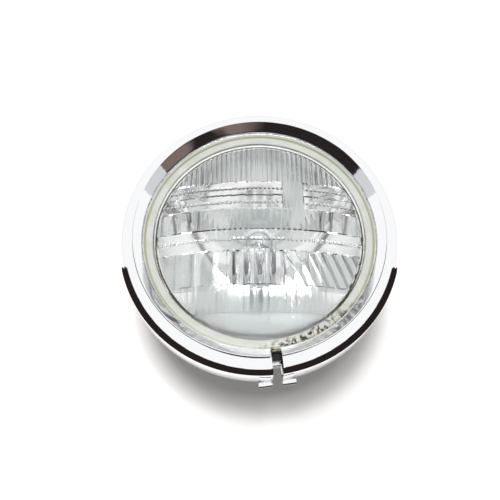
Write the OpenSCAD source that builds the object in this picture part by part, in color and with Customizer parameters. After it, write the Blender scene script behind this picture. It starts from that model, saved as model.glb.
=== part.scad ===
// Round motorcycle headlight lying on its back, lens up.
// +Z is the optical axis, the flat centre of the shell's back is at z = 0, and the
// split of the trim ring is near -Y. All sizes are in millimetres. The glass drives the
// rest: the seal, the ring, the carrier, the reflector and the shell follow its radius.

/* [Lens and seal] */
// Outer radius of the glass
lens_r = 69.7; // [66:0.1:72]
// Thickness of the glass flange
lens_flange_t = 4.5; // [3.5:0.25:5]
// Width of the plain flange round the fluted part
lens_flange_w = 7.2; // [6.6:0.1:9]
// Height of the dome above its foot
dome_h = 14; // [10:0.5:20]
// Thickness of the domed glass
dome_t = 3.6; // [3:0.2:4.5]
// Width of one fine flute
flute_w = 4; // [3.5:0.1:5]
// Depth of a fine flute
flute_depth = 0.5; // [0.2:0.05:0.8]
// Depth of the bold flutes and of the steps between the blocks
block_depth = 1.1; // [0.6:0.1:1.6]
// Wall of the seal round the glass
seal_wall = 2; // [1.8:0.1:2.4]
// Width of the seal's lips over the glass
seal_cover = 4.7; // [4:0.1:5.5]
// Thickness of the seal's front lip
seal_front_t = 1.5; // [1.2:0.1:2]
// Thickness of the seal's rear lip
seal_rear_t = 2.2; // [1.5:0.1:3]

/* [Trim ring] */
// Width of the seal's edge that the ring covers
ring_cover = 1.7; // [1.2:0.1:2]
// Height of the ring's steep neck above the seal
neck_h = 3.5; // [2:0.25:4.5]
// Lean of the neck away from the lens
neck_lean = 10; // [5:1:20]
// Distance from the ring's inner edge out to its crest
crest_out = 6.8; // [6:0.1:8]
// Height of the crest above the seal
crest_h = 9; // [8:0.5:13]
// Radius of the rounding along the crest
crest_round = 1.5; // [1.2:0.1:2.5]
// Depth of the ring's outer roll, from the crest down to the skirt
roll_depth = 9; // [7:0.5:12]
// Gap between the shell's bead and the inside of the skirt
skirt_gap = 5.8; // [4:0.1:7]
// Distance from the seal's face down to the ring's rear edge
skirt_drop = 18.3; // [17:0.1:20]
// Radius of the bend from the skirt into the rear lip
lip_round = 1.5; // [1.2:0.1:2]
// Thickness of the ring's sheet
ring_wall = 0.9; // [0.7:0.1:1.1]
// Width of the split
split_w = 6; // [3:0.5:9]
// Turn of the split away from the bottom of the lens
split_turn = 7; // [-30:1:30]

/* [Rolled ears] */
// Length of each rolled ear
ear_len = 8.2; // [5:0.2:12]
// Outer radius of each rolled ear
ear_r = 2.2; // [2:0.1:3]

/* [Carrier ring] */
// Thickness of the carrier ring's sheet
carrier_t = 1; // [0.8:0.1:1.2]
// Width of the carrier's flange on the shell's mouth
carrier_flange = 3.3; // [3:0.1:3.8]
// Depth of the carrier's cup below the shell's mouth
cup_depth = 3; // [2.5:0.25:3.5]
// Number of clips that hold the lamp unit in the cup
clip_count = 4; // [3:1:6]
// Width of one clip
clip_w = 9; // [6:0.5:12]

/* [Shell] */
// Room between the shell's flat back and the bulb's terminals
back_room = 14; // [12:0.5:20]
// Height of the shell's straight wall above the bowl
wall_h = 20; // [16:0.5:24]
// Width of the lip turned in at the shell's mouth
mouth_lip = 1.5; // [1.2:0.1:2]
// Width of the carrier's flange that lies on the mouth
mouth_seat = 1.7; // [1.4:0.1:2]
// Depth of the bowl's round bottom that the flat back cuts off
back_cut = 4; // [3.5:0.25:6]
// Thickness of the shell's sheet steel
shell_wall = 1; // [0.8:0.1:1.2]
// Radial height of the bead that the trim ring hooks behind
bead_h = 3; // [2:0.25:4]
// Height of the bead's straight face
bead_face = 4; // [3:0.25:5]
// Height of the cone from the bead down to the wall
bead_cone = 7; // [6:0.25:8]
// Radius of the recess round the cable inlet
recess_r = 15; // [14:0.5:17]
// Depth of the recess round the cable inlet
recess_depth = 4; // [3.5:0.25:5]

/* [Side bosses] */
// Drop of the mounting bosses below the widest part of the bowl
boss_drop = 12; // [11:0.5:16]
// Radius of a mounting boss
boss_r = 11; // [9:0.5:11.5]
// Distance that a boss stands out beyond the widest part of the bowl
boss_stand = 8.5; // [7:0.5:9.5]
// Thickness of the boss's floor behind its thread
boss_floor = 1; // [0.8:0.1:2]
// Wall radius of the bosses' thread, cut for an 8 mm screw
thread_r = 3.4; // [3:0.1:4.2]

/* [Cable inlet] */
// Radius of the hole through the grommet
inlet_r = 4.2; // [3:0.1:5.5]
// Radius of the hole in the shell that the grommet sits in
inlet_seat_r = 8; // [7.5:0.1:9]
// Radius of the grommet's two flanges
grommet_r = 12; // [10.5:0.1:12.5]
// Thickness of the grommet's inner flange
grommet_t = 2.2; // [1.5:0.1:3]
// Distance that the grommet's outer flange stays back from the shell's flat back
grommet_back = 0.5; // [0.2:0.1:1]

/* [Reflector] */
// Distance that the reflector's opening reaches past the fluted part
reflector_past = 0.5; // [0.3:0.1:0.6]
// Focal length of the reflector's paraboloid
focal = 22.5; // [22:0.25:24]
// Thickness of the reflector's wall
reflector_t = 1.2; // [0.8:0.1:1.6]
// Thickness of the reflector's flange
reflector_flange_t = 1; // [0.8:0.1:1.4]
// Inner radius of the reflector's neck
neck_r = 19.5; // [19.2:0.1:20.5]
// Width of the flange at the foot of the neck
neck_flange = 7; // [6:0.25:8]

/* [Bulb] */
// Distance from the bulb's seat to the middle of the dip filament
dip_reach = 29.5; // [29:0.25:30]
// Distance from the bulb's seat to the middle of the main filament
main_reach = 23; // [22.5:0.25:23.25]
// Radius of the bulb's glass
glass_r = 8.5; // [8:0.1:9]
// Length of the bulb in front of its seat
glass_len = 52; // [50:0.5:54]
// Thickness of the collar that the bulb's flange seats on
collar_t = 1.6; // [1.2:0.1:2]
// Radius of the bulb's seating flange
bulb_flange_r = 20.5; // [20:0.1:21]
// Radius of the bulb's cap behind the flange
cap_r = 15; // [14:0.1:16]
// Length of the bulb's cap behind the flange
cap_len = 12; // [10:0.5:13]
// Length of the insulator behind the cap
insulator_len = 6; // [5:0.5:7]
// Length of the terminals behind the insulator
blade_len = 9; // [7:0.5:10]
// Width of a terminal
blade_w = 8; // [7.5:0.1:8.2]

/* [Hidden] */
$fn = 96;
// Clearance between pieces that fit round each other
fit = 0.1;
// Overlap that lets a cut pass cleanly through a face
over = 1;

seal_r = lens_r + seal_wall;
seal_lip_r = lens_r - seal_cover;
flute_zone_r = lens_r - lens_flange_w;
reflector_r = flute_zone_r + reflector_past;
// Thickness of the bulb's flange
flange_t = 1;
blade_reach = flange_t + cap_len + insulator_len + blade_len;

// Heights, from the bulb's terminals up to the ring's crest
seat_z = back_room + blade_reach;
neck_z = seat_z + collar_t;
vertex_z = seat_z + dip_reach - focal;
lens_z = vertex_z + reflector_r * reflector_r / (4 * focal);
lens_front_z = lens_z + lens_flange_t;
seal_z = lens_front_z + seal_front_t;
reflector_flange_z = lens_z - reflector_flange_t;
cup_floor_z = reflector_flange_z - seal_rear_t;
cup_z = cup_floor_z - carrier_t;
rim_z = cup_z + cup_depth;
belly_z = rim_z - wall_h;
crest_z = seal_z + crest_h;
skirt_z = seal_z - skirt_drop;
cap_z = seat_z - flange_t - cap_len;
insulator_z = cap_z - insulator_len;

// Radii, from the seal out to the ring's skirt
ring_edge_r = seal_r - ring_cover;
crest_r = ring_edge_r + crest_out;
cup_r = seal_r + 2 * fit;
carrier_r = cup_r + carrier_t + carrier_flange;
mouth_r = carrier_r - mouth_seat;
shell_r = mouth_r + mouth_lip;
bead_r = shell_r + bead_h;
skirt_r = bead_r + skirt_gap + ring_wall;

// Bead at the shell's mouth
bead_low = rim_z - bead_face;
bead_foot = bead_low - bead_cone;
bead_slope = bead_h / bead_cone;
bead_round = 1.2;

// Points along an arc of an ellipse, from angle a0 to angle a1 in n steps
function arc(cx, cz, rx, rz, a0, a1, n) =
  [for (i = [0:n]) [cx + rx * cos(a0 + (a1 - a0) * i / n), cz + rz * sin(a0 + (a1 - a0) * i / n)]];
// Unit normal on the left of the step from point a to point b
function left_of(a, b) = [a[1] - b[1], b[0] - a[0]] / norm(b - a);
// A line moved sideways by t at every corner, as bent sheet keeps its thickness
function moved(p, t) = [
  for (i = [0:len(p) - 1])
    let (
      before = left_of(p[max(i - 1, 0)], p[max(i, 1)]),
      after = left_of(p[min(i, len(p) - 2)], p[min(i + 1, len(p) - 1)]),
      mean = (before + after) / norm(before + after)
    )
    p[i] + mean * t / (mean * before)
];
// Outline of sheet of thickness t lying on the left of a line
function sheet(p, t) = concat(p, [for (i = [len(p) - 1:-1:0]) moved(p, t)[i]]);

// Chromed trim ring: steep neck, flare, rounded crest, outer roll, skirt and rear lip
edge = [ring_edge_r, seal_z + ring_wall * sin(neck_lean)];
neck_top = [ring_edge_r + neck_h * tan(neck_lean), edge[1] + neck_h];
crest_c = [crest_r, crest_z - crest_round];
to_crest = crest_c - neck_top;
flare = atan2(to_crest[1], to_crest[0]) + asin(crest_round / norm(to_crest));
neck_round = 0.8;
neck_bend = [
  neck_top - neck_round * [sin(neck_lean), cos(neck_lean)], neck_top + neck_round * [cos(flare), sin(flare)]
];
lip_z = skirt_z + ring_wall;
lip_r = max(bead_r - (bead_low - lip_z) * bead_slope, shell_r) + fit;
ring_line = concat(
  [edge, neck_bend[0], 0.25 * (neck_bend[0] + 2 * neck_top + neck_bend[1]), neck_bend[1]],
  arc(crest_c[0], crest_c[1], crest_round, crest_round, flare + 90, 90, 4),
  arc(crest_r, crest_z - roll_depth, skirt_r - crest_r, roll_depth, 80, 0, 8),
  arc(skirt_r - lip_round, skirt_z + lip_round, lip_round, lip_round, 0, -90, 3),
  [[lip_r, skirt_z]]
);
ear_hole_r = ear_r - ring_wall;
ear_sunk = ring_wall + 3 * fit;

module ear(side) {
  x = side > 0 ? split_w / 2 : -split_w / 2 - ear_len;
  translate([x, ear_sunk - skirt_r - ear_r, skirt_z + ear_r])
    rotate([0, 90, 0]) difference() {
      cylinder(r = ear_r, h = ear_len, $fn = 32);
      translate([0, 0, -over]) cylinder(r = ear_hole_r, h = ear_len + 2 * over, $fn = 32);
    }
}

module trim_ring() {
  color("#d5d8dc") rotate([0, 0, split_turn]) union() {
    difference() {
      rotate_extrude() polygon(sheet(ring_line, -ring_wall));
      translate([-split_w / 2, -skirt_r - over, skirt_z - over])
        cube([split_w, skirt_r - ring_edge_r + 4 * over, crest_z - skirt_z + 2 * over]);
    }
    ear(-1);
    ear(1);
  }
}

// Pressed glass lens: a smooth dome outside, blocks of flutes inside.
// Every column of points stands on a quarter of a fine flute.
col_w = flute_w / 4;
half_cols = 4 * floor(flute_zone_r / flute_w);
columns = 2 * half_cols;
// Edges of the blocks, from the bottom of the lens to its top, as shares of the fluted part's radius
block_edges = [-1, -0.53, -0.21, 0, 0.22, 0.375, 0.53, 1];
block_n = len(block_edges) - 1;
step_gap = 0.008;
tall_block = 0.25;
function gap_at(b) = b > 0 && b < block_n ? step_gap : 0;
rows = [
  for (b = [0:block_n - 1])
    let (low = block_edges[b] + gap_at(b), high = block_edges[b + 1] - gap_at(b + 1))
    let (steps = high - low > tall_block ? 2 : 1)
    for (k = [0:steps]) low + (high - low) * k / steps
];
row_n = len(rows);
function col_x(j) = j == 0 ? -flute_zone_r : j == columns ? flute_zone_r : (j - half_cols) * col_w;
function half_y(x) = sqrt(max(flute_zone_r * flute_zone_r - x * x, 0));
function row_y(k, x) = min(max(rows[k] * flute_zone_r, -half_y(x)), half_y(x));
dome_radius = (flute_zone_r * flute_zone_r + dome_h * dome_h) / (2 * dome_h);
function dome(r) = sqrt(dome_radius * dome_radius - r * r) - (dome_radius - dome_h);

// Depth of a round flute of width w and depth d at place x
function round_flute(x, w, d) = d * (1 - pow(2 * abs(x / w - round(x / w)), 2));
// Lying prism in block b, thickest at its upper edge, at height v
function prism(b, v) = block_depth * (v - block_edges[b]) / (block_edges[b + 1] - block_edges[b]);
// Upright strip that interrupts the two upper prisms, as shares of the fluted part's radius
strip = [0.22, 0.43];
function in_strip(x) = x > strip[0] * flute_zone_r && x < strip[1] * flute_zone_r;
// Middle block: bold flutes in the centre, slanting ones at the right, wide ones at the left
function middle(x, y) =
  abs(x + flute_w / 2) < flute_zone_r * 0.27 ? round_flute(x, 2 * flute_w, block_depth) :
  x > 0 ? round_flute(x + y / 2, 2 * flute_w, block_depth) :
  round_flute(x, 3 * flute_w, flute_depth);
// Flutes between the prisms: wide ones at the sides, fine ones in the centre
function between(x) =
  abs(x) > flute_zone_r * 0.6 ? round_flute(x, 3 * flute_w, block_depth) : round_flute(x, flute_w, flute_depth);
// Depth of the pattern below the dome
function pattern(x, y) =
  let (v = y / flute_zone_r)
  v > block_edges[6] ? round_flute(x, flute_w, flute_depth) :
  v > block_edges[4] && in_strip(x) ? round_flute(x, flute_w, flute_depth) :
  v > block_edges[5] ? prism(5, v) :
  v > block_edges[4] ? prism(4, v) :
  v > block_edges[3] ? between(x) :
  v > block_edges[2] ? prism(2, v) :
  v > block_edges[1] ? middle(x, y) :
  block_depth / 2 + round_flute(x, flute_w, flute_depth);

// Boundary of the fluted part, anticlockwise from its left end
rim_xy = concat(
  [for (j = [0:columns]) [col_x(j), -half_y(col_x(j))]],
  [for (j = [columns - 1:-1:1]) [col_x(j), half_y(col_x(j))]]
);
rim_n = len(rim_xy);
grid_n = (columns + 1) * row_n;
function rim_index(i) = i <= columns ? i * row_n : (2 * columns - i) * row_n + row_n - 1;
// Height of the foot's slope, and of the step inside the flange
dome_rise = 1.6;
inner_step = 1.2;
// Rings of the flange as radius and height, from the inner face round to the outer face
flange_rings = [
  [flute_zone_r + inner_step / 2, lens_z + inner_step], [flute_zone_r + inner_step, lens_z], [lens_r, lens_z],
  [lens_r, lens_front_z], [seal_lip_r, lens_front_z]
];
inner_rim_z = lens_front_z + dome_rise - dome_t;
flute_fade = 2;

module lens() {
  places = [for (j = [0:columns]) for (k = [0:row_n - 1]) [col_x(j), row_y(k, col_x(j))]];
  inner = [for (p = places) let (r = min(norm(p), flute_zone_r))
    [p[0], p[1], inner_rim_z + dome(r) - pattern(p[0], p[1]) * min(1, (flute_zone_r - r) / flute_fade)]];
  outer = [for (p = places) [p[0], p[1], inner_rim_z + dome_t + dome(min(norm(p), flute_zone_r))]];
  rings = [for (h = flange_rings) for (q = rim_xy) [q[0] * h[0] / flute_zone_r, q[1] * h[0] / flute_zone_r, h[1]]];
  first = 2 * grid_n;
  last = first + (len(flange_rings) - 1) * rim_n;
  grid = [for (j = [0:columns - 1]) for (k = [0:row_n - 2])
    let (a = j * row_n + k, b = a + row_n) each [[a, b, b + 1], [a, b + 1, a + 1]]];
  walls = [for (i = [0:rim_n - 1])
    let (m = (i + 1) % rim_n, a = rim_index(i), b = rim_index(m)) each concat(
      [[a, first + i, first + m], [a, first + m, b]],
      [for (g = [first:rim_n:last - 1]) each [[g + i, g + rim_n + i, g + rim_n + m], [g + i, g + rim_n + m, g + m]]],
      [[last + i, grid_n + a, grid_n + b], [last + i, grid_n + b, last + m]]
    )];
  color("#dfe8e6", 0.5) polyhedron(
    points = concat(inner, outer, rings),
    faces = concat(grid, [for (f = grid) [grid_n + f[2], grid_n + f[1], grid_n + f[0]]], walls)
  );
}

// Channel of soft clear plastic, gone yellow, round the edges of the glass and the reflector.
// The clips hook over the ledge round its front.
ledge_z = seal_z - 1;
ledge_r = seal_r - 0.8;
lip_chamfer = 0.5;
module lens_seal() {
  color("#cfc79a") rotate_extrude() polygon([
    [seal_lip_r, seal_z - lip_chamfer], [seal_lip_r + lip_chamfer, seal_z], [ledge_r, seal_z], [ledge_r, ledge_z],
    [seal_r, ledge_z], [seal_r, cup_floor_z], [seal_lip_r, cup_floor_z], [seal_lip_r, reflector_flange_z],
    [lens_r + fit, reflector_flange_z], [lens_r + fit, lens_front_z], [seal_lip_r, lens_front_z]
  ]);
}

// Paraboloid with its flange under the glass and a neck for the bulb
bowl_n = 14;
function bowl_r(i) = neck_r + (reflector_r - neck_r) * i / bowl_n;
module reflector() {
  line = concat(
    [[neck_r + neck_flange, neck_z], [neck_r, neck_z]],
    [for (i = [0:bowl_n]) [bowl_r(i), vertex_z + pow(bowl_r(i), 2) / (4 * focal)]]
  );
  back = moved(line, -reflector_t);
  color("#e6e8ea") difference() {
    rotate_extrude() polygon(concat(
      line, [[lens_r, lens_z], [lens_r, reflector_flange_z]],
      [[back[len(back) - 1][0] - reflector_t / 2, reflector_flange_z]],
      [for (i = [len(back) - 2:-1:0]) back[i]]
    ));
    collar_holes();
  }
}

// Stepped ring of black sheet that carries the lamp unit on the shell's mouth
cup_lip = 1.4;
clip_rivet_r = 0.6;
clip_rivet_at = (cup_r + carrier_t + carrier_r) / 2;
module carrier_ring() {
  line = [[seal_lip_r - cup_lip, cup_z], [cup_r + carrier_t, cup_z], [cup_r + carrier_t, rim_z], [carrier_r, rim_z]];
  color("#26262a") difference() {
    rotate_extrude() polygon(sheet(line, carrier_t));
    for (i = [0:clip_count - 1])
      rotate([0, 0, i * 360 / clip_count + 45]) translate([clip_rivet_at, 0, rim_z - over])
        cylinder(r = clip_rivet_r, h = carrier_t + 2 * over, $fn = 24);
  }
}

// Spring clips riveted to the carrier's flange, hooked over the seal's ledge
clip_t = 0.5;
module unit_clips() {
  foot_z = rim_z + carrier_t;
  near = seal_r + fit;
  color("#8f9094") for (i = [0:clip_count - 1])
    rotate([0, 0, i * 360 / clip_count + 45]) difference() {
      translate([0, clip_w / 2, 0]) rotate([90, 0, 0]) linear_extrude(clip_w) polygon(sheet([
        [carrier_r - 2 * fit, foot_z + clip_t], [near + clip_t, foot_z + clip_t],
        [near + clip_t, ledge_z + clip_t], [ledge_r + fit, ledge_z + clip_t]
      ], clip_t));
      translate([clip_rivet_at, 0, foot_z - over]) cylinder(r = clip_rivet_r, h = clip_t + 2 * over, $fn = 24);
    }
}

module clip_rivets() {
  head_r = 1.1;
  head_t = 0.6;
  color("#a9abb0") for (i = [0:clip_count - 1])
    rotate([0, 0, i * 360 / clip_count + 45]) translate([clip_rivet_at, 0, rim_z])
      union() {
        cylinder(r = clip_rivet_r - fit / 5, h = carrier_t + clip_t, $fn = 24);
        translate([0, 0, carrier_t + clip_t]) cylinder(r = head_r, h = head_t, $fn = 24);
      }
}

// Deep drawn bowl with a flat back, a recess for the cable inlet and a beaded mouth
recess_lean = 0.6;
bowl_depth = belly_z + back_cut;
bowl_line = arc(0, belly_z, shell_r, bowl_depth, -asin(belly_z / bowl_depth), 0, 18);
module headlamp_shell() {
  line = concat(
    [[inlet_seat_r, recess_depth], [recess_r, recess_depth], [recess_r + recess_depth * recess_lean, 0]],
    bowl_line,
    [[shell_r, bead_foot], [bead_r, bead_low], [bead_r, rim_z - bead_round]],
    [[bead_r - bead_round, rim_z], [mouth_r, rim_z]]
  );
  color("#c9ccd1") rotate_extrude() polygon(sheet(line, shell_wall));
}

// Turned boss welded to the shell's side, tapped for the bracket's screw
boss_reach = shell_r + boss_stand;
boss_z = belly_z - boss_drop;
boss_step = 2;
module side_boss(side) {
  foot = boss_reach - shell_r * cos(asin((boss_drop + boss_r) / bowl_depth));
  color("#b9bcc2") difference() {
    translate([side * boss_reach, 0, boss_z]) rotate([0, -90 * side, 0]) union() {
      cylinder(r = boss_r - boss_step, h = boss_step, $fn = 64);
      translate([0, 0, boss_step]) cylinder(r = boss_r, h = foot, $fn = 64);
    }
    rotate_extrude() polygon(concat([[0, 0]], bowl_line, [[shell_r, rim_z], [0, rim_z]]));
    translate([side * (boss_reach + over), 0, boss_z]) rotate([0, -90 * side, 0])
      cylinder(r = thread_r, h = boss_stand - boss_floor + over, $fn = 48);
  }
}

module side_boss_left() { side_boss(-1); }
module side_boss_right() { side_boss(1); }

// Rubber grommet that the cable leaves through, within the depth of the recess
module cable_grommet() {
  inner_z = recess_depth + shell_wall;
  edge_t = 0.8;
  color("#1d1d1f") rotate_extrude() polygon([
    [inlet_r, grommet_back], [grommet_r - edge_t, grommet_back], [grommet_r, grommet_back + edge_t],
    [grommet_r, recess_depth], [inlet_seat_r - fit, recess_depth], [inlet_seat_r - fit, inner_z],
    [grommet_r - edge_t, inner_z], [grommet_r - 2 * edge_t, inner_z + grommet_t], [inlet_r, inner_z + grommet_t]
  ]);
}

// Steel collar behind the reflector's neck, which the bulb's flange seats on
collar_hole_r = neck_r - 5 * fit;
collar_r = neck_r + neck_flange + 5 * fit;
rivet_r = 0.9;
tab_reach = 1.8;
rivet_at = (bulb_flange_r + tab_reach + collar_r) / 2 - 3 * fit;
module collar_holes() {
  for (i = [0:2]) rotate([0, 0, i * 120 + 30]) translate([rivet_at, 0, seat_z - over])
    cylinder(r = rivet_r, h = collar_t + reflector_t + 2 * over, $fn = 24);
}

module bulb_collar() {
  color("#b4b6ba") difference() {
    translate([0, 0, seat_z]) cylinder(r = collar_r, h = collar_t);
    translate([0, 0, seat_z - over]) cylinder(r = collar_hole_r, h = collar_t + 2 * over);
    collar_holes();
  }
}

// Rivets through the collar and the reflector's neck flange, headed on both sides
module collar_rivets() {
  head_t = 0.8;
  head_r = 1.6;
  color("#9fa1a6") for (i = [0:2]) rotate([0, 0, i * 120 + 30]) translate([rivet_at, 0, seat_z - head_t]) union() {
    cylinder(r = head_r, h = head_t, $fn = 24);
    cylinder(r = rivet_r - fit / 2, h = collar_t + reflector_t + 2 * head_t, $fn = 24);
    translate([0, 0, collar_t + reflector_t + head_t]) cylinder(r = head_r - fit, h = head_t, $fn = 24);
  }
}

// Wire spring that presses the bulb's flange onto the collar
module bulb_spring() {
  wire_r = 0.7;
  arm_z = seat_z - flange_t - wire_r - fit / 5;
  loop_r = cap_r + 2.2;
  color("#c3c5c8") union() {
    translate([0, 0, arm_z]) rotate([0, 0, -60]) rotate_extrude(angle = 300)
      translate([loop_r, 0]) circle(r = wire_r, $fn = 24);
    for (a = [-52, -128]) rotate([0, 0, a]) translate([loop_r, 0, arm_z])
      rotate([0, 90, 0]) cylinder(r = wire_r - 0.08, h = collar_r - loop_r - 1, $fn = 24);
  }
}

tab_w = 8;
cap_wall = 1;
module bulb_flange() {
  color("#c8cacd") difference() {
    union() {
      translate([0, 0, seat_z - flange_t]) cylinder(r = bulb_flange_r, h = flange_t);
      for (a = [90, 210, 330]) rotate([0, 0, a])
        translate([0, -tab_w / 2, seat_z - flange_t]) cube([bulb_flange_r + tab_reach, tab_w, flange_t]);
    }
    translate([0, 0, seat_z - flange_t - over]) cylinder(r = cap_r - cap_wall, h = flange_t + 2 * over);
  }
}

// Metal cap: a front collar round the glass, and a barrel behind the flange
cap_seat = 2;
front_len = 4;
module bulb_cap() {
  barrel_r = cap_r - cap_wall - fit;
  color("#b7b9bd") rotate_extrude() polygon([
    [glass_r + fit, cap_z + cap_seat], [glass_r + fit, seat_z + front_len],
    [glass_r + 3 * cap_wall, seat_z + front_len], [barrel_r, seat_z + cap_wall],
    [barrel_r, seat_z - flange_t], [cap_r, seat_z - flange_t], [cap_r, cap_z],
    [cap_r - 3 * cap_wall, cap_z], [cap_r - 3 * cap_wall, cap_z + cap_seat]
  ]);
}

module bulb_insulator() {
  color("#3b3a36") translate([0, 0, insulator_z]) union() {
    cylinder(r = cap_r - cap_wall, h = insulator_len);
    cylinder(r = cap_r - 3 * cap_wall - fit, h = insulator_len + cap_seat - 2 * fit);
  }
}

// Three flat terminals, one across and two along the sides
module bulb_terminals() {
  blade_t = 0.8;
  at = cap_r * 0.55;
  color("#c9b27a") for (a = [0, 90, 270]) rotate([0, 0, a + 90])
    translate([at - blade_t / 2, -blade_w / 2, insulator_z - blade_len]) cube([blade_t, blade_w, blade_len]);
}

// Top of the bulb's solid glass foot
inside_z = seat_z + 7;
module bulb_glass() {
  wall = 1;
  tip_z = seat_z + glass_len;
  foot_z = cap_z + 2 * cap_seat;
  round_h = glass_r * 0.7;
  color("#eef4f6", 0.4) rotate_extrude() polygon(concat(
    [[0, foot_z], [glass_r, foot_z]],
    arc(0, tip_z - round_h, glass_r, round_h, 0, 90, 8),
    arc(0, tip_z - round_h, glass_r - wall, round_h - wall, 90, 0, 8),
    [[glass_r - wall, inside_z], [0, inside_z]]
  ));
}

coil_len = 5;
coil_r = 0.8;
module coil(reach) {
  translate([0, 0, seat_z + reach - coil_len / 2]) cylinder(r = coil_r, h = coil_len, $fn = 24);
}

module main_filament() {
  color("#8a8a8c") coil(main_reach);
}

module dip_filament() {
  color("#8a8a8c") coil(dip_reach);
}

// Small metal trough below the dip filament
shield_r = 4.4;
shield_len = 9.5;
shield_t = 0.4;
module dip_shield() {
  low = seat_z + dip_reach - shield_len / 2 + shield_t;
  color("#a4a6aa") translate([0, 0, low]) difference() {
    cylinder(r = shield_r, h = shield_len, $fn = 48);
    translate([0, 0, -over]) cylinder(r = shield_r - shield_t, h = shield_len + over - shield_t, $fn = 48);
    translate([-shield_r - over, shield_t, -over])
      cube([2 * shield_r + 2 * over, shield_r + over, shield_len + 2 * over]);
  }
}

// Three lead wires that stand in the bulb's glass foot
module filament_wires() {
  wire_r = 0.4;
  dip_low = seat_z + dip_reach - coil_len / 2;
  main_low = seat_z + main_reach - coil_len / 2;
  side = coil_r + wire_r + fit / 2;
  color("#9b9c9f") {
    translate([side, 0, inside_z]) cylinder(r = wire_r, h = dip_low + 1.5 - inside_z, $fn = 20);
    translate([-side, 0, inside_z]) cylinder(r = wire_r, h = main_low + 1.5 - inside_z, $fn = 20);
    translate([0, -shield_r - wire_r - fit / 2, inside_z]) cylinder(r = wire_r, h = dip_low + 4 - inside_z, $fn = 20);
  }
}

// Rubber boot from the collar to the bulb's insulator
module dust_boot() {
  boot_t = 2;
  low = insulator_z + 1;
  color("#202022") rotate_extrude() polygon(sheet([
    [cap_r - cap_wall + fit + boot_t, low], [cap_r + 1.6 + boot_t, cap_z + 1], [collar_r + fit + boot_t, seat_z - 4],
    [collar_r + fit + boot_t, seat_z + collar_t]
  ], boot_t));
}

trim_ring();
lens();
lens_seal();
reflector();
carrier_ring();
unit_clips();
clip_rivets();
headlamp_shell();
side_boss_left();
side_boss_right();
cable_grommet();
bulb_collar();
collar_rivets();
bulb_spring();
bulb_glass();
bulb_flange();
bulb_cap();
bulb_insulator();
bulb_terminals();
main_filament();
dip_filament();
dip_shield();
filament_wires();
dust_boot();
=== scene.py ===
# %% [markdown]
# # A round motorcycle headlight, photographed lens up on white
#
# The lamp lies on its back and looks straight up. A deep chromed ring with one split surrounds
# a domed glass, which carries blocks of flutes on its inner side. Behind the glass is a bright
# reflector with its bulb, and below the ring is a bowl of chromed sheet. The frame holds every
# piece at its real size, so this script gives them their looks: it replaces the parts whose
# reflections have to be smooth, gives the others a finish, and sets up the studio.

# %% Load the frame
import math

import bpy
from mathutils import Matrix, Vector


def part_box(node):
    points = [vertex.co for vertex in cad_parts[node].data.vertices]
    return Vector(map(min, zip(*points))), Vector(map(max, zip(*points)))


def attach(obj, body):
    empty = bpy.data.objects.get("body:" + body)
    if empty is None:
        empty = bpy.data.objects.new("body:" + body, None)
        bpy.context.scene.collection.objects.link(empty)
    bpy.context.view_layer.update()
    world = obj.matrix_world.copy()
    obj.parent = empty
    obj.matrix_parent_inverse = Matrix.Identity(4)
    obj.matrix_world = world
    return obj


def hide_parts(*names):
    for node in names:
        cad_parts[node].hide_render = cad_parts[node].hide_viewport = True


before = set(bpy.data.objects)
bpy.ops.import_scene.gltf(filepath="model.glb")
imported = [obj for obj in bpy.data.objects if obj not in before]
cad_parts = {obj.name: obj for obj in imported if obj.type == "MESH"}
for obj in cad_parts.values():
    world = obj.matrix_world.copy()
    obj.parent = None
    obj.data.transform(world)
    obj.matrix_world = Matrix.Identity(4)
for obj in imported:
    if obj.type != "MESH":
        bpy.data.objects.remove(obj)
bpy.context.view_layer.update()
scene = bpy.context.scene
scene.view_settings.view_transform = "Standard"
MM = 0.001

# %% [markdown]
# ## Sizes
#
# The heights and radii come from the frame's own pieces, so that each new piece lies where the
# solid lies. The optical axis is the Z axis, and the shell's flat back is at zero.

# %% Sizes of the pieces, in millimetres
def extent(node):
    """Lowest and highest corner of a node, in millimetres."""
    low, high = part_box(node)
    return [c / MM for c in low], [c / MM for c in high]


ring_low, ring_high = extent("trim_ring")
seal_low, seal_high = extent("lens_seal")
lens_low, lens_high = extent("lens")
bowl_low = extent("reflector")[0]
shell_high = extent("headlamp_shell")[1]

crest_z = ring_high[2]
skirt_z = ring_low[2]
skirt_r = ring_high[0]
seal_z = seal_high[2]
rim_z = shell_high[2]
lens_z = lens_low[2]
lens_r = lens_high[0]
split_w = 6.0
split_turn = math.radians(7.0)
print("crest", round(crest_z, 1), "seal", round(seal_z, 1), "mouth of the shell", round(rim_z, 1))

# %% [markdown]
# ## Helpers for turned pieces
#
# Nearly all of this lamp is turned or spun, so most pieces start as one circle of points and
# grow by extruding that circle along a profile, which is how a spinner would press the sheet
# over a former. An operator acts on whatever is selected, so each helper clears the selection
# first. A profile is a list of (radius, height) points, and round stretches come from `arc`.

# %% Profiles and selections
def arc(centre, radii, start, end, steps):
    """Points along an arc of an ellipse, angles in degrees."""
    points = []
    for i in range(steps + 1):
        a = math.radians(start + (end - start) * i / steps)
        points.append((centre[0] + radii[0] * math.cos(a), centre[1] + radii[1] * math.sin(a)))
    return points


def only(obj):
    """Leave one object selected and active."""
    if bpy.context.object and bpy.context.object.mode != "OBJECT":
        bpy.ops.object.mode_set(mode="OBJECT")
    bpy.ops.object.select_all(action="DESELECT")
    obj.select_set(True)
    bpy.context.view_layer.objects.active = obj


def settle(obj):
    """Put the object's place, turn and scale into its mesh."""
    only(obj)
    bpy.ops.object.transform_apply(location=True, rotation=True, scale=True)


def use_modifier(obj, kind, **values):
    """Add a modifier, set its values and apply it at once."""
    only(obj)
    modifier = obj.modifiers.new(kind.title(), kind)
    for name, value in values.items():
        setattr(modifier, name, value)
    bpy.ops.object.modifier_apply(modifier=modifier.name)


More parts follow.
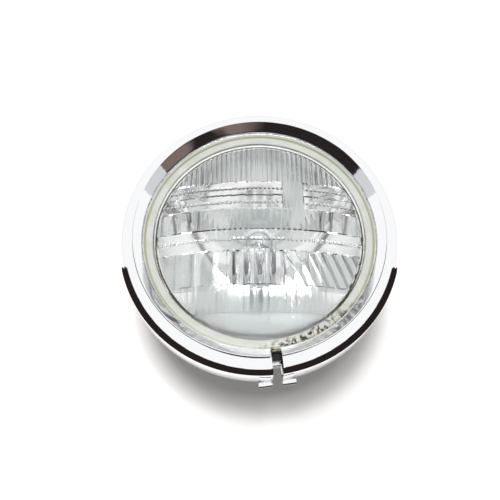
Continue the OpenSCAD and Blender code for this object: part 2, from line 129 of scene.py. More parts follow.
def smooth(obj, angle=35):
    """Shade smooth, but keep edges sharper than an angle in degrees."""
    only(obj)
    bpy.ops.object.shade_smooth_by_angle(angle=math.radians(angle))


def outward(obj):
    """Merge doubles and turn all faces outwards."""
    only(obj)
    bpy.ops.object.mode_set(mode="EDIT")
    bpy.ops.mesh.select_all(action="SELECT")
    bpy.ops.mesh.remove_doubles(threshold=0.002 * MM)
    bpy.ops.mesh.normals_make_consistent(inside=False)
    bpy.ops.object.mode_set(mode="OBJECT")


def draw_out(profile):
    """Extrude the selected circle of edges along the rest of a profile, in edit mode."""
    for (r0, z0), (r1, z1) in zip(profile, profile[1:]):
        bpy.ops.mesh.extrude_region_move(TRANSFORM_OT_translate={"value": (0, 0, (z1 - z0) * MM)})
        grow = r1 / r0
        bpy.ops.transform.resize(value=(grow, grow, 1), center_override=(0, 0, z1 * MM))


def spun(name, profile, around=192, close=False):
    """A surface of revolution grown from one circle; close joins the last circle to the first."""
    bpy.ops.object.select_all(action="DESELECT")
    bpy.ops.mesh.primitive_circle_add(
        vertices=around, radius=profile[0][0] * MM, location=(0, 0, profile[0][1] * MM)
    )
    obj = bpy.context.object
    obj.name = name
    settle(obj)
    bpy.ops.object.mode_set(mode="EDIT")
    bpy.ops.mesh.select_mode(type="VERT")
    bpy.ops.mesh.select_all(action="SELECT")
    draw_out(list(profile) + ([profile[0]] if close else []))
    bpy.ops.object.mode_set(mode="OBJECT")
    outward(obj)
    return obj


def join(name, parts):
    """Join several objects into the first."""
    bpy.ops.object.select_all(action="DESELECT")
    for part in parts:
        part.select_set(True)
    bpy.context.view_layer.objects.active = parts[0]
    bpy.ops.object.join()
    parts[0].name = name
    return parts[0]


def drop_faces(obj, unwanted):
    """Delete the faces whose centre, in millimetres, passes a test."""
    only(obj)
    bpy.ops.object.mode_set(mode="EDIT")
    bpy.ops.mesh.select_mode(type="FACE")
    bpy.ops.mesh.select_all(action="DESELECT")
    bpy.ops.object.mode_set(mode="OBJECT")
    for face in obj.data.polygons:
        face.select = unwanted(*(face.center / MM))
    bpy.ops.object.mode_set(mode="EDIT")
    bpy.ops.mesh.delete(type="FACE")
    bpy.ops.object.mode_set(mode="OBJECT")


def report(obj):
    """Print how many triangles a piece has."""
    count = sum(len(p.vertices) - 2 for p in obj.data.polygons)
    print(obj.name, count, "triangles")


# %% [markdown]
# ## Helpers for materials
#
# Every finish is a Principled BSDF with noise on Object coordinates, so the pattern stays on the
# piece in any view. Values that are the same all over go straight on the shader's sockets.

# %% Material helpers
def new_material(name, colour, metallic=0.0, roughness=0.5, **sockets):
    """A Principled material, with the values that are the same all over."""
    material = bpy.data.materials.new(name)
    material.use_nodes = True
    shader = material.node_tree.nodes["Principled BSDF"]
    shader.inputs["Base Color"].default_value = (*colour, 1)
    shader.inputs["Metallic"].default_value = metallic
    shader.inputs["Roughness"].default_value = roughness
    for socket, value in sockets.items():
        shader.inputs[socket.replace("_", " ")].default_value = value
    return material, material.node_tree, shader


def node(tree, kind, **values):
    """Add a node and set its plain properties."""
    made = tree.nodes.new(kind)
    for name, value in values.items():
        setattr(made, name, value)
    return made


def noise(tree, scale, detail=4.0, stretch=(1, 1, 1)):
    """Noise on the piece's own coordinates, with an optional stretch."""
    coords = node(tree, "ShaderNodeTexCoord")
    mapping = node(tree, "ShaderNodeMapping")
    mapping.inputs["Scale"].default_value = stretch
    texture = node(tree, "ShaderNodeTexNoise")
    texture.inputs["Scale"].default_value = scale
    texture.inputs["Detail"].default_value = detail
    tree.links.new(coords.outputs["Object"], mapping.inputs["Vector"])
    tree.links.new(mapping.outputs["Vector"], texture.inputs["Vector"])
    return texture.outputs["Fac"]


def spread(tree, value, low, high, start=0.35, end=0.65):
    """Map a value between start and end to a range, clamped."""
    made = node(tree, "ShaderNodeMapRange")
    made.inputs["From Min"].default_value = start
    made.inputs["From Max"].default_value = end
    made.inputs["To Min"].default_value = low
    made.inputs["To Max"].default_value = high
    tree.links.new(value, made.inputs["Value"])
    return made.outputs["Result"]


def blend_colours(tree, factor, first, second):
    """Two colours mixed by a factor."""
    mix = node(tree, "ShaderNodeMix", data_type="RGBA")
    mix.inputs["A"].default_value = (*first, 1)
    mix.inputs["B"].default_value = (*second, 1)
    tree.links.new(factor, mix.inputs["Factor"])
    return mix.outputs["Result"]


def combined(tree, operation, first, second):
    """Two values joined by a Math node."""
    made = node(tree, "ShaderNodeMath", operation=operation)
    tree.links.new(first, made.inputs[0])
    tree.links.new(second, made.inputs[1])
    return made.outputs["Value"]


def bump(tree, shader, height, strength, distance):
    """Raise the surface a little by a height value."""
    made = node(tree, "ShaderNodeBump")
    made.inputs["Strength"].default_value = strength
    made.inputs["Distance"].default_value = distance
    tree.links.new(height, made.inputs["Height"])
    tree.links.new(made.outputs["Normal"], shader.inputs["Normal"])


# %% [markdown]
# ## Chrome
#
# Chrome plate is a mirror with a faint blue-grey tint. An old ring isn't a perfect mirror: it has
# a haze of fine wiping marks, so the roughness varies between almost nothing and a soft blur.

# %% Chrome plate
def chrome(name, tint, low, high):
    """A mirror whose roughness wanders between two values."""
    material, tree, shader = new_material(name, tint, metallic=1.0)
    haze = noise(tree, 60.0, 6.0)
    tree.links.new(spread(tree, haze, low, high), shader.inputs["Roughness"])
    ripple = noise(tree, 35.0, 2.0)
    bump(tree, shader, ripple, 0.08, 0.0004)
    return material


ring_chrome = chrome("ring_chrome", (0.94, 0.945, 0.955), 0.02, 0.06)
shell_chrome = chrome("shell_chrome", (0.8, 0.81, 0.83), 0.04, 0.12)
print("finishes:", ring_chrome.name, shell_chrome.name)

# %% [markdown]
# ## Trim ring
#
# The ring is one strip of sheet, spun to a deep section: a cone down to the glass, a rounded
# crest, an outer roll and a skirt with a lip turned in at the rear. It is grown from the circle
# at the glass outwards, cut through with two planes for the split, and given its thickness by
# Solidify last, so that the cut edges show the sheet.

# %% Spin the trim ring
ring_edge_r = 70.0
neck_h = 3.5
neck_lean = math.radians(10)
crest_r = 76.8
crest_round = 1.5
roll_depth = 9.0
ring_wall = 0.9
corner_round = 1.5
edge_z = seal_z + ring_wall * math.sin(neck_lean)
neck_top = (ring_edge_r + neck_h * math.tan(neck_lean), edge_z + neck_h)
to_crest = (crest_r - neck_top[0], crest_z - crest_round - neck_top[1])
flare = math.atan2(to_crest[1], to_crest[0]) + math.asin(crest_round / math.hypot(*to_crest))


def between(a, b, share):
    """The point that lies at a share of the way from a to b."""
    return (a[0] + (b[0] - a[0]) * share, a[1] + (b[1] - a[1]) * share)


def bend(a, corner, b, steps):
    """A soft bend from a to b that leans towards a corner."""
    shares = [i / steps for i in range(steps + 1)]
    return [between(between(a, corner, t), between(corner, b, t), t) for t in shares]


crest = arc(
    (crest_r, crest_z - crest_round), (crest_round, crest_round), math.degrees(flare) + 90, 90, 12
)
neck_low = between(neck_top, (ring_edge_r, edge_z), 0.35)
neck_high = between(neck_top, crest[0], 0.2)
cone = [between((ring_edge_r, edge_z), neck_low, i / 4) for i in range(4)]
cone = cone + bend(neck_low, neck_top, neck_high, 8)
cone = cone + [between(neck_high, crest[0], i / 5) for i in range(1, 5)]
roll = arc((crest_r, crest_z - roll_depth), (skirt_r - crest_r, roll_depth), 88, 0, 24)
corner = arc(
    (skirt_r - corner_round, skirt_z + corner_round), (corner_round, corner_round), 0, -90, 6
)
bead_r = shell_high[0]
bead_start_z = rim_z - 4
lip_r = bead_r - (bead_start_z - skirt_z - ring_wall) * 3 / 7 + 0.1
ring_profile = cone + crest + roll + corner + [(lip_r, skirt_z)]

ring = spun("trim_ring_skin", ring_profile, around=360)
half_split = split_w / 2 * MM
sharp_edge = math.radians(50)
only(ring)
bpy.ops.object.mode_set(mode="EDIT")
bpy.ops.mesh.select_all(action="SELECT")
bpy.ops.mesh.bisect(plane_co=(half_split, 0, 0), plane_no=(1, 0, 0))
bpy.ops.mesh.select_all(action="SELECT")
bpy.ops.mesh.bisect(plane_co=(-half_split, 0, 0), plane_no=(1, 0, 0))
bpy.ops.object.mode_set(mode="OBJECT")
drop_faces(ring, lambda x, y, z: abs(x) < split_w / 2 and y < 0)
use_modifier(ring, "SOLIDIFY", thickness=ring_wall * MM, offset=-1, use_even_offset=True)
use_modifier(
    ring, "BEVEL", width=0.12 * MM, segments=2, limit_method="ANGLE", angle_limit=sharp_edge
)
smooth(ring)
report(ring)

# %% [markdown]
# ## Rolled ears
#
# At each side of the split a tab at the rear edge is rolled into a small tube for the clamp
# screw. The screw is gone, so the tubes are empty. Each tube is spun from its closed section, laid
# along the edge, and its edges are bevelled like cut sheet.

# %% Roll the two ears
ear_len = 8.2
ear_r = 2.05
ear_z = skirt_z - 0.9
ear_y = -(skirt_r + ear_r - ring_wall - 0.3)


def rolled_ear(side):
    """One ear, on the side of the split where X is negative (-1) or positive (1)."""
    inner = ear_r - ring_wall
    half = ear_len / 2
    tube = [(ear_r, -half), (ear_r, half), (inner, half), (inner, -half)]
    ear = spun("rolled_ear", tube, around=48, close=True)
    ear.rotation_euler.y = math.radians(90)
    ear.location = (side * (split_w + ear_len) / 2 * MM, ear_y * MM, ear_z * MM)
    settle(ear)
    use_modifier(
        ear, "BEVEL", width=0.15 * MM, segments=2, limit_method="ANGLE", angle_limit=sharp_edge
    )
    smooth(ear)
    return ear


ring = join("trim_ring_skin", [ring, rolled_ear(-1), rolled_ear(1)])
ring.rotation_euler.z = split_turn
settle(ring)
ring.data.materials.append(ring_chrome)
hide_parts("trim_ring")
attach(ring, "root")
report(ring)

# %% [markdown]
# ## Seal
#
# A soft clear channel holds the glass and the reflector together. Light and heat have turned it
# yellow, and dirt has crept in at the lower right. It is spun from a closed section with a rounded
# front lip, so it needs no Solidify.

# %% Spin the seal
seal_r = seal_high[0]
seal_lip_r = 65.0
ledge_r = seal_r - 0.8
front_wall = 1.5
groove_top = seal_z - front_wall
groove_low = seal_low[2] + 2.2
groove_r = lens_r + 0.1
seal_profile = (
    arc((seal_lip_r + 0.5, seal_z - 0.5), (0.5, 0.5), 180, 90, 4)
    + [(ledge_r - 0.3, seal_z), (ledge_r, seal_z - 0.3), (ledge_r, seal_z - 1)]
    + arc((seal_r - 0.3, seal_z - 1.3), (0.3, 0.3), 90, 0, 3)
    + [(seal_r, seal_low[2]), (seal_lip_r, seal_low[2]), (seal_lip_r, groove_low)]
    + [(groove_r, groove_low), (groove_r, groove_top), (seal_lip_r, groove_top)]
)
seal = spun("lens_seal_skin", seal_profile, around=256, close=True)
smooth(seal)
report(seal)

# %% [markdown]
# The plastic was clear once. Along its two edges it is a darker yellow-olive: partly yellowing,
# and partly painted shade where it meets the glass and the ring. So its colour follows the
# distance from the axis, with noise on top. The grime is a darker noise that is only let through
# at the lower right, by the place on the piece.

# %% Yellowed plastic with painted shade at its edges, and grime
seal_plastic, tree, shader = new_material(
    "seal_plastic", (0.9, 0.92, 0.86), roughness=0.2, Transmission_Weight=0.3, IOR=1.45
)
coords = node(tree, "ShaderNodeTexCoord")
flat = node(tree, "ShaderNodeVectorMath", operation="MULTIPLY")
tree.links.new(coords.outputs["Object"], flat.inputs[0])
flat.inputs[1].default_value = (1, 1, 0)
radius = node(tree, "ShaderNodeVectorMath", operation="LENGTH")
tree.links.new(flat.outputs["Vector"], radius.inputs[0])
# Both edges are yellowing plus painted shade at the joins with the glass and the ring.
inner_edge = spread(tree, radius.outputs["Value"], 0.4, 0.0, 0.0652, 0.0658)
outer_edge = spread(tree, radius.outputs["Value"], 0.0, 1.0, 0.0688, 0.0696)
edges = combined(tree, "MAXIMUM", inner_edge, outer_edge)
age = spread(tree, noise(tree, 90.0, 3.0), 0.0, 1.0)
pale = blend_colours(tree, age, (0.93, 0.95, 0.92), (0.83, 0.86, 0.79))
aged_and_edge_shaded = node(tree, "ShaderNodeMix", data_type="RGBA")
tree.links.new(edges, aged_and_edge_shaded.inputs["Factor"])
tree.links.new(pale, aged_and_edge_shaded.inputs["A"])
aged_and_edge_shaded.inputs["B"].default_value = (0.60, 0.59, 0.38, 1)
lower_right = node(tree, "ShaderNodeVectorMath", operation="DOT_PRODUCT")
tree.links.new(coords.outputs["Object"], lower_right.inputs[0])
lower_right.inputs[1].default_value = (0.44, -0.9, 0)
near_corner = spread(tree, lower_right.outputs["Value"], 0.0, 1.0, 0.06, 0.067)
specks = spread(tree, noise(tree, 420.0, 5.0), 0.0, 1.0, 0.47, 0.58)
grime = combined(tree, "MULTIPLY", near_corner, specks)
dirty = node(tree, "ShaderNodeMix", data_type="RGBA")
tree.links.new(grime, dirty.inputs["Factor"])
tree.links.new(aged_and_edge_shaded.outputs["Result"], dirty.inputs["A"])
dirty.inputs["B"].default_value = (0.07, 0.055, 0.03, 1)
tree.links.new(dirty.outputs["Result"], shader.inputs["Base Color"])
bump(tree, shader, noise(tree, 260.0, 3.0), 0.2, 0.0003)
seal.data.materials.append(seal_plastic)
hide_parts("lens_seal")
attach(seal, "root")
print("finish:", seal_plastic.name)

# %% [markdown]
# ## Lens
#
# The glass is smooth outside and carries flutes inside, in blocks that spread or bend the beam.
# Upright flutes spread it, and lying prisms bend it down. The blocks could be cut one by one, but
# a function that gives the depth at each place keeps their borders in one list.

# %% Pattern of the flutes
zone_r = 62.5
dome_h = 14.0
dome_t = 3.6
dome_radius = (zone_r**2 + dome_h**2) / (2 * dome_h)
lens_front_z = seal_z - front_wall
outer_rim_z = lens_front_z + 1.6
inner_rim_z = outer_rim_z - dome_t

# Heights at which one row of blocks ends and the next begins, from the top down
top_y = 33.1
upper_y = 23.4
middle_y = 13.8
lower_y = -13.1
foot_y = -33.1
bottom_y = -49.5
last_y = -56.0
window = (13.8, 26.9)
prism_depth = 1.2
foot_prism_h = 6.5
dot_rows = (28.5, 18.5, -6.0)


def dome(r):
    """Height of the dome above its rim."""
    return math.sqrt(dome_radius**2 - r**2) - (dome_radius - dome_h)


def flute(x, width, depth):
    """Depth of a round flute at x."""
    share = x / width - round(x / width)
    return depth * (1 - (2 * share) ** 2)


def prism(y, thin, thick, depth):
    """Depth of a lying prism, which grows from its thin edge to its thick one."""
    return depth * (y - thin) / (thick - thin)


def pattern(x, y):
    """Depth of the glass pattern below the inner dome, in millimetres."""
    if y > top_y:
        return flute(x, 3.1, 0.45)
    if y > middle_y and window[0] < x < window[1]:
        return 0.2 + flute(x, 2.6, 0.25)
    dotted = x % 2.6 < 1.5 and any(abs(y - row) < 0.7 for row in dot_rows)
    dots = 0.45 if dotted else 0
    if y > upper_y:
        return prism(y, upper_y, top_y, prism_depth) + dots
    if y > middle_y:
        return prism(y, middle_y, upper_y, prism_depth) + dots
    if y > 0:
        return flute(x, 11.0, 0.8) if abs(x) > 37 else flute(x, 3.2, 0.3)
    if y > lower_y:
        return prism(y, lower_y, 0, prism_depth) + dots
    if y > foot_y:
        if -19 < x < 15:
            return flute(x, 6.4, 1.0) + flute(y, 6.0, 0.15)
        if x > 0:
            return flute(x + y / 2, 6.4, 0.8)
        return flute(x, 11.0, 0.5)
    if y > bottom_y:
        return flute(x, 4.0, 0.14)
    start = bottom_y if y > last_y else last_y
    return prism(y, start, start - foot_prism_h, 1.1) + flute(x, 4.0, 0.14)


print("glass: dome", dome_h, "mm high, radius", round(dome_radius, 1), "mm")

# %% [markdown]
# The inner face starts as a fine grid, which is squeezed to a disc so that the flutes stay
# straight from top to bottom. The height of each point then comes from the pattern. The rim, the
# flange and the smooth outer dome are grown from the grid's edge by extruding, ring by ring.

# %% Shape the glass
bpy.ops.object.select_all(action="DESELECT")
bpy.ops.mesh.primitive_grid_add(x_subdivisions=290, y_subdivisions=180, size=2 * zone_r * MM)
lens = bpy.context.object
lens.name = "lens_glass"
settle(lens)
edge_fade = 0.9
for vertex in lens.data.vertices:
    x = vertex.co.x / MM
    y = vertex.co.y / MM * math.sqrt(max(1 - (x / zone_r) ** 2, 0))
    r = min(math.hypot(x, y), zone_r)
    fade = min(1, (zone_r - r) / edge_fade)
    vertex.co = Vector((x, y, inner_rim_z + dome(r) - pattern(x, y) * fade)) * MM
only(lens)
bpy.ops.object.mode_set(mode="EDIT")
bpy.ops.mesh.select_all(action="SELECT")
bpy.ops.mesh.remove_doubles(threshold=0.01 * MM)
bpy.ops.mesh.select_all(action="DESELECT")
bpy.ops.mesh.select_mode(type="EDGE")
bpy.ops.mesh.select_non_manifold(
    extend=False,
    use_boundary=True,
    use_wire=False,
    use_multi_face=False,
    use_non_contiguous=False,
    use_verts=False,
)
rim_profile = [
    (zone_r, inner_rim_z), (zone_r + 0.6, lens_z + 1.2), (zone_r + 1.2, lens_z), (lens_r, lens_z),
    (lens_r, lens_front_z - 0.4), (lens_r - 0.4, lens_front_z), (seal_lip_r, lens_front_z),
    (zone_r + 1.2, lens_front_z + 0.9), (zone_r, outer_rim_z),
]
dome_radii = [zone_r * (1 - i / 24) for i in range(24)]
dome_profile = [(r, outer_rim_z + dome(r)) for r in dome_radii]
draw_out(rim_profile + dome_profile[1:])
bpy.ops.mesh.merge(type="CENTER")
bpy.ops.object.mode_set(mode="OBJECT")
outward(lens)
smooth(lens, 30)
report(lens)

# %% [markdown]
# The flutes are darkened with painted shade, which stands in for the dim tone that the glass shows
# there, and the lying prisms are left clear. A noise alone couldn't tell them apart, so an
# attribute of the mesh says how much painted shade the inner face has at each point.

# %% Painted shade in the flutes
def painted_shade_at(x, y):
    """Share of painted shade in the flutes of a zone, from 0 to 1."""
    if y > top_y:
        return min(1, (zone_r - math.hypot(x, y)) / 9)
    if window[0] < x < window[1] and y > 0:
        return 1.0
    if y > middle_y:
        return 0.0
    if y > 0:
        return 0.85
    if y > lower_y:
        return 0.0
    if y > -36:
        return 1.0 if x < -40 or x > 36 else 0.5 if x < -26 or x > 24 else 0.12
    return 0.1


# This attribute holds painted shade for the flutes of the glass, not real dust.
dust_and_painted_shade = lens.data.attributes.new("dust_and_painted_shade", "FLOAT", "POINT")
for vertex in lens.data.vertices:
    x, y, z = vertex.co / MM
    r = math.hypot(x, y)
    on_inner_face = z < lens_front_z - 0.6 + dome(min(r, zone_r))
    in_flutes = on_inner_face and r < zone_r - 0.5
    dust_and_painted_shade.data[vertex.index].value = painted_shade_at(x, y) if in_flutes else 0.0
print("dust marked on", sum(1 for share in dust_and_painted_shade.data if share.value > 0), "points")

# %% [markdown]
# Pressed glass is clear with a green-grey cast, and old glass has a thin film of dust and
# water marks, so its roughness varies a little. Its lower edge is misted. The grey tint in the
# flutes is painted shade, and it follows the attribute that the mesh carries.

# %% Glass of the lens
lens_glass, tree, shader = new_material(
    "lens_glass", (0.97, 0.985, 0.975), roughness=0.02, Transmission_Weight=1.0, IOR=1.5
)
film = spread(tree, noise(tree, 45.0, 5.0), 0.0, 0.06)
coords = node(tree, "ShaderNodeTexCoord")
apart = node(tree, "ShaderNodeSeparateXYZ")
tree.links.new(coords.outputs["Object"], apart.inputs["Vector"])
misted = spread(tree, apart.outputs["Y"], 0.4, 0.0, -0.056, -0.036)
tree.links.new(combined(tree, "MAXIMUM", film, misted), shader.inputs["Roughness"])
mark = node(tree, "ShaderNodeAttribute", attribute_name="dust_and_painted_shade")
# Painted shade: the flutes get a grey base colour where the attribute is high.
dusty_and_shaded = blend_colours(tree, mark.outputs["Fac"], (1.0, 1.0, 1.0), (0.44, 0.475, 0.465))
tree.links.new(dusty_and_shaded, shader.inputs["Base Color"])
lens.data.materials.append(lens_glass)
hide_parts("lens")
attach(lens, "root")
print("finish:", lens_glass.name)

# %% [markdown]
# ## Reflector
#
# The bowl behind the glass is a paraboloid with the lamp's focus a little in front of the bulb's
# seat. It is grown in many thin rings, because a mirror shows every flat.

# %% Spin the reflector
mouth_r = 63.0
neck_r = 19.5
focal = 22.5
vertex_z = lens_z - mouth_r**2 / (4 * focal)
bowl_profile = (
    [(neck_r + 7, bowl_low[2]), (neck_r + 0.5, bowl_low[2]), (neck_r, bowl_low[2] + 0.5)]
    + [
        (r, vertex_z + r**2 / (4 * focal))
        for r in (neck_r + (mouth_r - neck_r) * i / 48 for i in range(49))
    ]
    + [(lens_r, lens_z - 0.02)]
)
bowl = spun("reflector_skin", bowl_profile, around=256)
use_modifier(bowl, "SOLIDIFY", thickness=0.9 * MM, offset=1, use_even_offset=True)
outward(bowl)
smooth(bowl)
report(bowl)

# %% [markdown]
# The bowl is coated with aluminium, which is a little softer than chrome, so its roughness is
# higher and varies more. The finish of the solid would show its flats, hence the finer skin.

# %% Aluminised mirror
reflector_bright, tree, shader = new_material(
    "reflector_bright", (0.98, 0.985, 0.985), metallic=1.0
)
tree.links.new(spread(tree, noise(tree, 30.0, 5.0), 0.04, 0.14), shader.inputs["Roughness"])
bowl.data.materials.append(reflector_bright)
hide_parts("reflector")
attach(bowl, "root")
print("finish:", reflector_bright.name)

# %% [markdown]
# ## Shell
#
# The bowl that carries the lamp is deep drawn: a flat back with a recess for the cable, a round
# belly and a bead at the mouth that the ring grips. It is spun in one piece and thickened.

# %% Spin the shell
shell_r = 76.0
belly_z = rim_z - 20.0
wall = 1.0
recess_r = 15.0
recess_depth = 4.0
inlet_seat_r = 8.0
bowl_depth = belly_z + 4.0
belly_start = -math.degrees(math.asin(belly_z / bowl_depth))
shell_profile = (
    [(inlet_seat_r, recess_depth), (recess_r - 0.8, recess_depth)]
    + [(recess_r, recess_depth - 0.4), (recess_r + 2.0, 0.5), (recess_r + 2.8, 0)]
    + arc((0, belly_z), (shell_r, bowl_depth), belly_start, 0, 48)
    + [(shell_r, rim_z - 11), (shell_r + 0.15, rim_z - 10.4), (bead_r - 0.15, rim_z - 4.4)]
    + [(bead_r, rim_z - 4), (bead_r, rim_z - 1.6)]
    + arc((bead_r - 1.2, rim_z - 1.4), (1.2, 1.4), 0, 90, 6)
    + [(74.5, rim_z)]
)
shell = spun("shell_skin", shell_profile, around=192)
use_modifier(shell, "SOLIDIFY", thickness=wall * MM, offset=-1, use_even_offset=True)
outward(shell)
smooth(shell)
report(shell)
shell.data.materials.append(shell_chrome)
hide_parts("headlamp_shell")
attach(shell, "root")

# %% [markdown]
# ## Finishes of the small pieces
#
# The carrier ring, clips, bosses, grommet and the bulb's pieces keep the frame's own shapes and
# get their real finishes: satin black paint, turned and plated steel, rubber, brass and quartz.

# %% Satin metal, rubber, brass and quartz
def satin(name, colour, low, high, stretch=(1, 1, 1), metallic=1.0):
    """A brushed or satin surface with a fine grain, which may be stretched along an axis."""
    material, tree, shader = new_material(name, colour, metallic=metallic)
    grain = noise(tree, 400.0, 6.0, stretch)
    tree.links.new(spread(tree, grain, low, high), shader.inputs["Roughness"])
    bump(tree, shader, grain, 0.15, 0.0001)
    return material


def rubber(name, colour):
    """A matt surface with patches of grey dust."""
    material, tree, shader = new_material(name, colour, roughness=0.7)
    dust_and_painted_shade = spread(tree, noise(tree, 150.0, 5.0), 0.0, 0.35)
    dusty_and_shaded = blend_colours(tree, dust_and_painted_shade, colour, (0.25, 0.24, 0.22))
    tree.links.new(dusty_and_shaded, shader.inputs["Base Color"])
    bump(tree, shader, noise(tree, 900.0, 3.0), 0.3, 0.0001)
    return material


carrier_black = satin("carrier_black", (0.03, 0.03, 0.032), 0.3, 0.5, metallic=0.0)
spring_steel = satin("spring_steel", (0.6, 0.6, 0.62), 0.2, 0.4)
boss_steel = satin("boss_steel", (0.72, 0.73, 0.75), 0.15, 0.35, (1, 0.05, 0.05))
bulb_metal = satin("bulb_metal", (0.74, 0.75, 0.76), 0.12, 0.3)
terminal_brass = satin("terminal_brass", (0.78, 0.68, 0.45), 0.2, 0.4)
filament_wire = satin("filament_wire", (0.5, 0.5, 0.52), 0.3, 0.5)
rubber_black = rubber("rubber_black", (0.03, 0.03, 0.03))
insulator_plastic = rubber("insulator_plastic", (0.12, 0.11, 0.1))
bulb_clear, tree, shader = new_material(
    "bulb_clear", (0.95, 0.97, 0.97), roughness=0.0, Transmission_Weight=1.0, IOR=1.46
)
tree.links.new(spread(tree, noise(tree, 80.0), 0.0, 0.04), shader.inputs["Roughness"])

finish_of = {
    "carrier_ring": carrier_black,
    "unit_clips": spring_steel,
    "clip_rivets": spring_steel,
    "side_boss_left": boss_steel,
    "side_boss_right": boss_steel,
    "cable_grommet": rubber_black,
    "bulb_collar": bulb_metal,
    "collar_rivets": spring_steel,
    "bulb_spring": spring_steel,
    "bulb_glass": bulb_clear,
    "bulb_flange": bulb_metal,
    "bulb_cap": bulb_metal,
    "bulb_insulator": insulator_plastic,
    "bulb_terminals": terminal_brass,
    "main_filament": filament_wire,
    "dip_filament": filament_wire,
    "dip_shield": bulb_metal,
    "filament_wires": filament_wire,
    "dust_boot": rubber_black,
}
for name, finish in finish_of.items():
    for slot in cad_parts[name].material_slots:
        slot.material = finish
print(len(finish_of), "pieces of the frame have their finish")

# %% [markdown]
# ## Studio
#
# The photograph is high key: a white table and white surroundings, soft light from above, and
# something dark in front of the lamp that the chrome shows as a dark crescent and a dark stripe.
# Dark cards that only mirrors see give those reflections without shading the object.
#
# The table is a white plane. Close to the lamp it keeps its shadow, and farther out the picture
# is blown out to plain white. So the floor glows a little for the camera, mirrors and glass, more
# with the distance from the lamp, and never for matt surfaces.

# %% Floor
bpy.ops.object.select_all(action="DESELECT")
floor_size = 8.0
bpy.ops.mesh.primitive_plane_add(size=floor_size)
floor = bpy.context.object
floor.name = "floor"
floor_white = bpy.data.materials.new("floor_white")
floor_white.use_nodes = True
tree = floor_white.node_tree
shader = tree.nodes["Principled BSDF"]
shader.inputs["Base Color"].default_value = (0.9, 0.87, 0.85, 1)
shader.inputs["Roughness"].default_value = 0.8
glow = node(tree, "ShaderNodeEmission")
glow.inputs["Color"].default_value = (1, 1, 1, 1)
path = node(tree, "ShaderNodeLightPath")
seen = combined(tree, "MAXIMUM", path.outputs["Is Camera Ray"], path.outputs["Is Glossy Ray"])
seen = combined(tree, "MAXIMUM", seen, path.outputs["Is Transmission Ray"])
coords = node(tree, "ShaderNodeTexCoord")
distance_out = node(tree, "ShaderNodeVectorMath", operation="LENGTH")
tree.links.new(coords.outputs["Object"], distance_out.inputs[0])
lift = spread(tree, distance_out.outputs["Value"], 0.0, 0.42, 0.079, 0.1)
tree.links.new(combined(tree, "MULTIPLY", seen, lift), glow.inputs["Strength"])
both = node(tree, "ShaderNodeAddShader")
tree.links.new(shader.outputs["BSDF"], both.inputs[0])
tree.links.new(glow.outputs["Emission"], both.inputs[1])
tree.links.new(both.outputs["Shader"], tree.nodes["Material Output"].inputs["Surface"])
floor.data.materials.append(floor_white)
print("floor", floor_size, "m wide")

# %% [markdown]
# The world is even white light. The camera, mirrors and glass see it as plain white, and matt
# surfaces get about a quarter of that, so that the shadow stays. One large soft lamp above gives
# the soft shadow below the ring.

# %% World and lamp
world = bpy.data.worlds.new("studio")
world.use_nodes = True
scene.world = world
sky = world.node_tree.nodes["Background"]
sky.inputs["Color"].default_value = (1, 1, 1, 1)
for_matt = 0.27
tree = world.node_tree
path = node(tree, "ShaderNodeLightPath")
mirrored = spread(tree, path.outputs["Is Glossy Ray"], for_matt, 1.0, 0.0, 1.0)
through = spread(tree, path.outputs["Is Transmission Ray"], for_matt, 1.0, 0.0, 1.0)
level = combined(tree, "MAXIMUM", mirrored, through)
brightest = combined(tree, "MAXIMUM", level, path.outputs["Is Camera Ray"])
tree.links.new(brightest, sky.inputs["Strength"])


def soft_lamp(name, place, size, power):
    """A round area lamp that is aimed at the object."""
    data = bpy.data.lights.new(name, "AREA")
    data.shape = "DISK"
    data.size = size
    data.energy = power
    lamp = bpy.data.objects.new(name, data)
    scene.collection.objects.link(lamp)
    lamp.location = place
    aim = Vector((0, 0, 0.1)) - Vector(place)
    lamp.rotation_euler = aim.to_track_quat("-Z", "Y").to_euler()
    return lamp


lamp = soft_lamp("lamp_above", (-0.06, 0.12, 1.4), 0.34, 13.0)
lamp.visible_glossy = False
print(lamp.name, lamp.data.energy, "W, matt surfaces get", for_matt, "of the world")

# %% [markdown]
# A card is a dark sheet that only mirrors see, so it darkens a reflection and nothing else. Its
# colour is emitted, so that no lamp changes it.

# %% Helpers for cards
def card_finish(name, colour):
    """A colour that looks the same in any light."""
    material = bpy.data.materials.new(name)
    material.use_nodes = True
    shader = material.node_tree.nodes["Principled BSDF"]
    shader.inputs["Base Color"].default_value = (0, 0, 0, 1)
    shader.inputs["Specular IOR Level"].default_value = 0.0
    shader.inputs["Emission Color"].default_value = (*colour, 1)
    shader.inputs["Emission Strength"].default_value = 1.0
    return material


def for_mirrors_only(card, finish, through_glass):
    """Give a card its finish, if any, and hide it from all but mirrors and, if asked, glass."""
    if finish:
        card.data.materials.append(finish)
    card.visible_camera = False
    card.visible_diffuse = False
    card.visible_shadow = False
    card.visible_transmission = through_glass


def aside(x, y):
    """Angle between a place and the near side, in degrees, the same to the left and right."""
    return abs(math.degrees(math.atan2(x, -y)))


def inside(low, high, widest):
    """A test for faces to drop: outside a band whose height changes with the angle."""
    def unwanted(x, y, z):
        """Whether a place is below, above or beside the band."""
        angle = aside(x, y)
        share = min(angle / 80, 1)
        below = z < low[0] + (low[1] - low[0]) * share
        above = z > high[0] + (high[1] - high[0]) * share
        return angle > widest or below or above
    return unwanted


# %% [markdown]
# The low card starts on the table in front of the ring and curves up, and the outer roll shows it
# as a dark stripe. It reaches round to both sides, as the dark room behind the camera does.

# %% Low card
room_dark = (0.02, 0.015, 0.014)
card_r = 450
on_the_table = [(132, 1.5), (300, 3), (400, 8), (440, 30)]
upright = [(card_r, z) for z in range(60, 301, 12)]
low_card = spun("card_low", on_the_table + upright, around=144)
drop_faces(low_card, inside((0, 0), (165, 255), 92))
for_mirrors_only(low_card, card_finish("card_dark", room_dark), False)
report(low_card)

# %% [markdown]
# The high card hangs over the glass, and the far inner wall shows it as a dark crescent. Its right
# half is clouded with brown, as the crescent is in the photograph. A paler card at each end gives
# the crescent its soft tips.

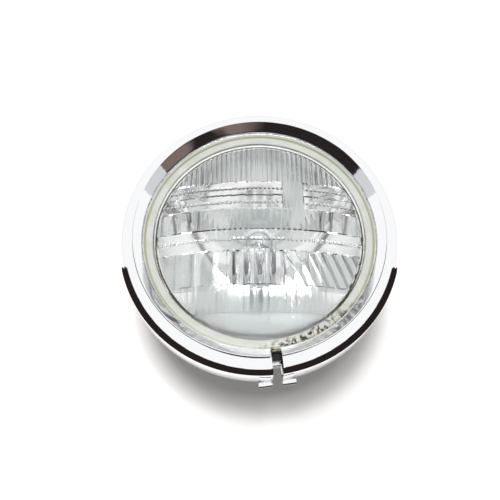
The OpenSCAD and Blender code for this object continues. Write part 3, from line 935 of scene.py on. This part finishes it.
# %% High card
card_warm = card_finish("card_warm", room_dark)
tree = card_warm.node_tree
coords = node(tree, "ShaderNodeTexCoord")
apart = node(tree, "ShaderNodeSeparateXYZ")
tree.links.new(coords.outputs["Object"], apart.inputs["Vector"])
half = spread(tree, apart.outputs["X"], 0.0, 1.0, -0.005, 0.02)
cloud = spread(tree, noise(tree, 26.0, 2.0, (1, 1, 0.6)), 0.0, 1.0, 0.44, 0.56)
warm = combined(tree, "MULTIPLY", half, cloud)
brown = blend_colours(tree, warm, (0.022, 0.018, 0.018), (0.2, 0.15, 0.135))
tree.links.new(brown, tree.nodes["Principled BSDF"].inputs["Emission Color"])


def end_of(z, first, growth):
    """The angle at which a part of the high card ends, which grows with the height."""
    return first + growth * ((z - 100) / 25) ** 2


over_glass_r = 55
high_edge = (420, 330)
first_end = (96, 1.0)
second_end = (117, 1.3)
heights = [(over_glass_r, z) for z in range(105, 426, 5)]
strip = spun("card_high", heights, around=360)
drop_faces(strip, inside((140, 124), high_edge, 180))
drop_faces(strip, lambda x, y, z: aside(x, y) > end_of(z, *first_end))
strip.data.materials.append(card_warm)
beside = spun("card_ends", heights, around=360)
drop_faces(beside, inside((124, 124), high_edge, 180))
drop_faces(beside, lambda x, y, z: aside(x, y) < end_of(z, *first_end))
drop_faces(beside, lambda x, y, z: aside(x, y) > end_of(z, *second_end))
beside.data.materials.append(card_finish("card_pale", (0.66, 0.67, 0.69)))
high_card = join("card_high", [strip, beside])
for_mirrors_only(high_card, None, False)
report(high_card)

# %% [markdown]
# The glass shows the dim room in front of it as a grey veil. A grey card on a part of a sphere
# gives that veil, and only rays that pass through glass see it.

# %% Card ahead
slopes = [math.radians(e) for e in range(40, 61, 4)]
front = [(card_r * math.cos(e), 100 + card_r * math.sin(e)) for e in slopes]
ahead = spun("card_ahead", front, around=96)
drop_faces(ahead, lambda x, y, z: aside(x, y) > 70)
for_mirrors_only(ahead, card_finish("card_dim", (0.5, 0.52, 0.51)), True)
ahead.visible_glossy = False
report(ahead)

# %% [markdown]
# ## Camera
#
# The view is from the near side and steeply above, at 68.5 degrees. The lens length and the
# distance give the ring's width in the picture, and the aim places it.

# %% Camera
elevation = math.radians(68.5)
distance = 0.4
sensor_mm = 36
picture_px = 500
pixels_per_mm = 1.632
ring_centre = Vector((0, 0, seal_z * MM))
camera_data = bpy.data.cameras.new("camera")
camera_data.sensor_width = sensor_mm
camera_data.lens = pixels_per_mm * distance / MM * sensor_mm / picture_px
camera = bpy.data.objects.new("camera", camera_data)
scene.collection.objects.link(camera)
toward = Vector((0, math.cos(elevation), -math.sin(elevation)))
up = Vector((0, math.sin(elevation), math.cos(elevation)))
ring_px = (259.3, 236.3)
aim = ring_centre - Vector((1, 0, 0)) * (ring_px[0] - picture_px / 2) / pixels_per_mm * MM
aim = aim + up * (ring_px[1] - picture_px / 2) / pixels_per_mm * MM
camera.location = aim - toward * distance
camera.rotation_euler = toward.to_track_quat("-Z", "Y").to_euler()
camera_data.clip_start = 0.01
scene.camera = camera
print("camera lens", round(camera_data.lens, 1), "mm")
